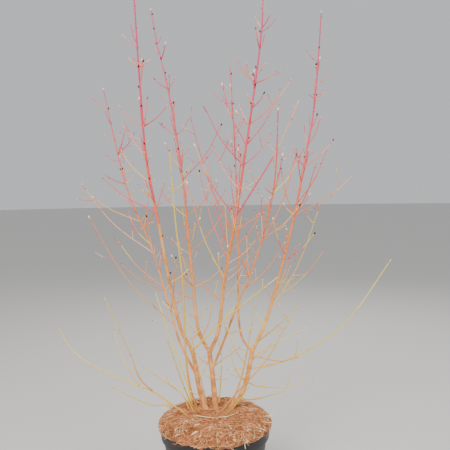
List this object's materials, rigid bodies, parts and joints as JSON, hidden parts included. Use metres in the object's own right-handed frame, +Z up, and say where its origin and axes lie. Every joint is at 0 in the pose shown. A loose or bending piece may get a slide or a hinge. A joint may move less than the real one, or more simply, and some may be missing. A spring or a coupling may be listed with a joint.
{
  "type": "potted midwinter fire dogwood",
  "caption": "Bare winter dogwood shrub in a black nursery pot with fibre mulch, its forked stems and twigs as separate solids.",
  "frame": {"origin": "centre of the pot's flat underside", "axes": "+Z up, -Y towards the viewer at the plant's front, +X to the plant's right in the front view"},
  "size_m": [0.8996, 0.5609, 1.3601],
  "materials": {
    "pot_plastic": "black moulded plastic, dull",
    "compost": "moist dark compost",
    "mulch_fibre": "loose reddish-brown bark and coir fibre",
    "stem_bark": "smooth peach-tan bark with pale lenticels",
    "bough_bark": "smooth orange-tan bark",
    "spray_twigs": "young twig bark, orange below to crimson above",
    "low_twigs": "young twig bark, yellow and cream"
  },
  "bodies": {
    "root": {"pot": "pot_plastic", "compost": "compost", "mulch": "mulch_fibre", "stem_middle": "stem_bark", "stem_left": "stem_bark", "stem_right": "stem_bark", "bough_centre": "bough_bark", "bough_left": "bough_bark", "bough_mid_right": "bough_bark", "bough_far_left": "bough_bark", "bough_outer_left": "bough_bark", "bough_slim_centre": "bough_bark", "bough_far_right": "bough_bark", "spray_centre": "spray_twigs", "spray_left": "spray_twigs", "spray_mid_right": "spray_twigs", "spray_far_left": "spray_twigs", "spray_outer_left": "spray_twigs", "spray_slim_centre": "spray_twigs", "spray_far_right": "spray_twigs", "spray_low_left": "low_twigs", "sucker_tall": "low_twigs", "sucker_back_left": "low_twigs", "sucker_right": "low_twigs", "low_left_front": "low_twigs", "low_left_back": "low_twigs", "low_left_short": "low_twigs", "low_back_left": "low_twigs", "low_back_right": "low_twigs", "low_back": "low_twigs", "low_front_left": "low_twigs", "low_front_right": "low_twigs", "twig_crossing": "low_twigs", "twig_fork": "low_twigs", "twig_inner_left": "low_twigs", "twig_inner_right": "low_twigs", "twig_between": "low_twigs", "low_right_long": "low_twigs", "low_right_back": "low_twigs", "low_right_front": "low_twigs", "right_drooping": "low_twigs", "right_spreading": "low_twigs", "right_rising": "low_twigs"}
  },
  "joints": []
}
